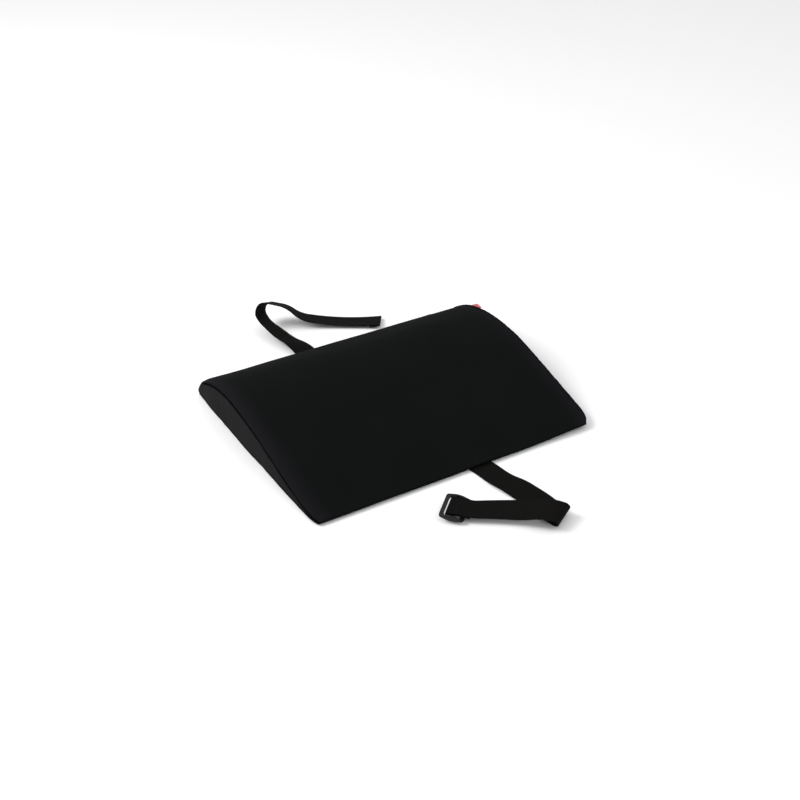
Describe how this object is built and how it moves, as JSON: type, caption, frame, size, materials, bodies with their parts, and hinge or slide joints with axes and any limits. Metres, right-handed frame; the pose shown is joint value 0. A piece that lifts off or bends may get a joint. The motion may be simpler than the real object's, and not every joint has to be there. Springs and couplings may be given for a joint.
{
  "type": "lumbar support cushion",
  "caption": "Wedge-shaped foam lumbar cushion in a zipped fabric cover, with an elastic strap and slide buckle that hold it to a chair back.",
  "frame": {"origin": "middle of the flat back, on the lower face of the strap that runs across it", "axes": "+Z out of the flat back towards the sitter, +X along the cushion, +Y from its thin edge to its thick edge"},
  "size_m": [0.3683, 0.5609, 0.049],
  "materials": {
    "cover_fabric": "matte black knitted polyester",
    "gusset_fabric": "matte black, slightly lighter weave",
    "back_fabric": "matte black padded mesh",
    "foam": "open-cell foam",
    "webbing": "black woven elastic",
    "buckle_plastic": "moulded black nylon, slight sheen",
    "zip_tape": "black woven tape",
    "zip_coil": "black nylon coil",
    "zip_metal": "black painted die-cast metal",
    "tab_fabric": "plain red woven tab"
  },
  "bodies": {
    "root": {"foam_core": "foam", "top_panel": "cover_fabric", "back_panel": "back_fabric", "lower_zip_strip": "cover_fabric", "end_gusset_left": "gusset_fabric", "end_gusset_right": "gusset_fabric", "zip_tape_upper": "zip_tape", "zip_tape_lower": "zip_tape", "zip_coil_upper": "zip_coil", "zip_coil_lower": "zip_coil", "zip_top_stop": "zip_metal", "zip_bottom_stop": "zip_metal", "strap_webbing": "webbing", "red_tab": "tab_fabric"},
    "slider": {"zip_slider": "zip_metal"},
    "pull": {"zip_pull": "zip_metal"},
    "buckle": {"slide_buckle": "buckle_plastic"}
  },
  "joints": [
    {"name": "zip_run", "type": "slide", "parent": "root", "child": "slider", "axis": [-1, 0, 0], "range_m": [0, 0.288]},
    {"name": "pull_swing", "type": "hinge", "parent": "slider", "child": "pull", "pos_m": [0.1452, 0.14598, 0.0162], "axis": [0, 0.6105, -0.792], "range_deg": [0, 150]},
    {"name": "buckle_tilt", "type": "hinge", "parent": "root", "child": "buckle", "pos_m": [-0.04919, -0.20003, 0.00612], "axis": [0.7298, 0.6837, -0.0049], "range_deg": [0, 30]}
  ]
}
